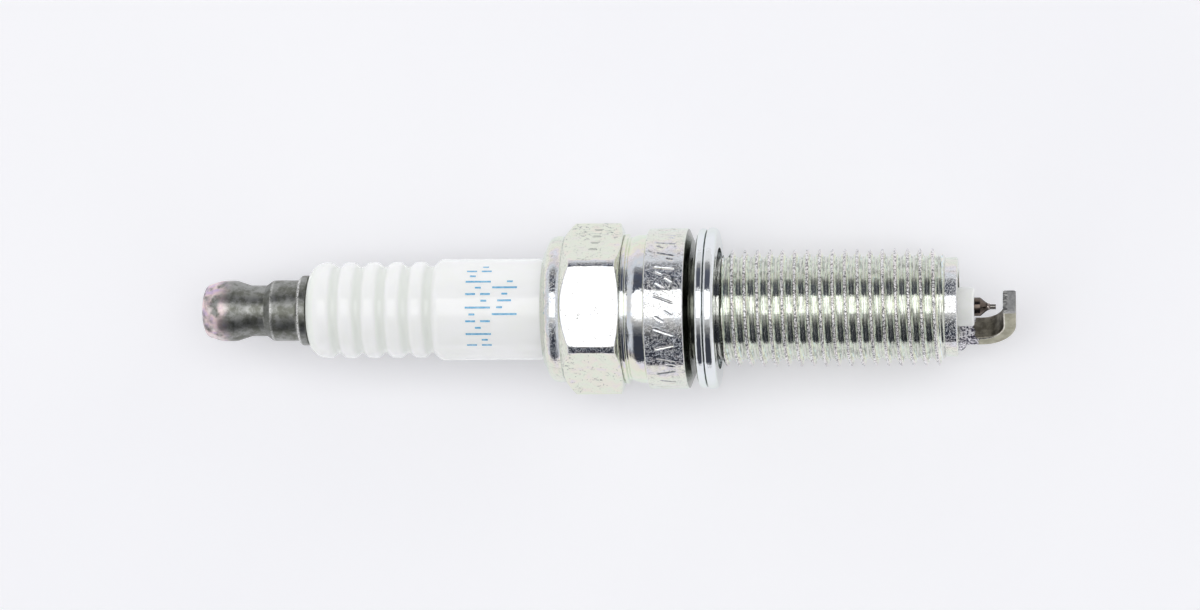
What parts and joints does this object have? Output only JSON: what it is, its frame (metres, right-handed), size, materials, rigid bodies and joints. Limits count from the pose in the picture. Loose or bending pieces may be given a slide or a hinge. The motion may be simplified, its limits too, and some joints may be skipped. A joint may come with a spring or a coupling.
{
  "type": "spark plug",
  "caption": "Fine-wire spark plug with a ribbed ceramic insulator, a hexagon shell, a long M12 thread and a loose folded gasket.",
  "frame": {"origin": "centre of the gasket's sealing face, where the plug seats on the cylinder head", "axes": "+X along the plug towards the firing end, +Z out of one hexagon flat, +Y level across the plug"},
  "size_m": [0.0823, 0.0172, 0.0162],
  "materials": {
    "terminal_steel": "satin",
    "glazed_alumina": "gloss",
    "seal_glass": "matte",
    "resistor_mix": "matte",
    "nickel_alloy": "satin",
    "copper": "satin",
    "iridium": "satin",
    "weld_metal": "satin",
    "zinc_plated_steel": "gloss",
    "packing_steel": "satin",
    "talc": "matte",
    "gasket_steel": "gloss"
  },
  "bodies": {
    "plug": {"terminal_stud": "terminal_steel", "insulator": "glazed_alumina", "upper_glass_seal": "seal_glass", "resistor": "resistor_mix", "lower_glass_seal": "seal_glass", "center_electrode": "nickel_alloy", "copper_core": "copper", "iridium_tip": "iridium", "tip_weld": "weld_metal", "shell": "zinc_plated_steel", "upper_packing_ring": "packing_steel", "talc_fill": "talc", "lower_packing_ring": "packing_steel", "seat_packing": "packing_steel", "ground_electrode": "nickel_alloy", "strap_weld": "weld_metal"},
    "gasket_ring": {"gasket": "gasket_steel"}
  },
  "joints": [
    {"name": "gasket_slide", "type": "slide", "parent": "plug", "child": "gasket_ring", "axis": [1, 0, 0], "range_m": [-0.00058, 0.00097]}
  ]
}
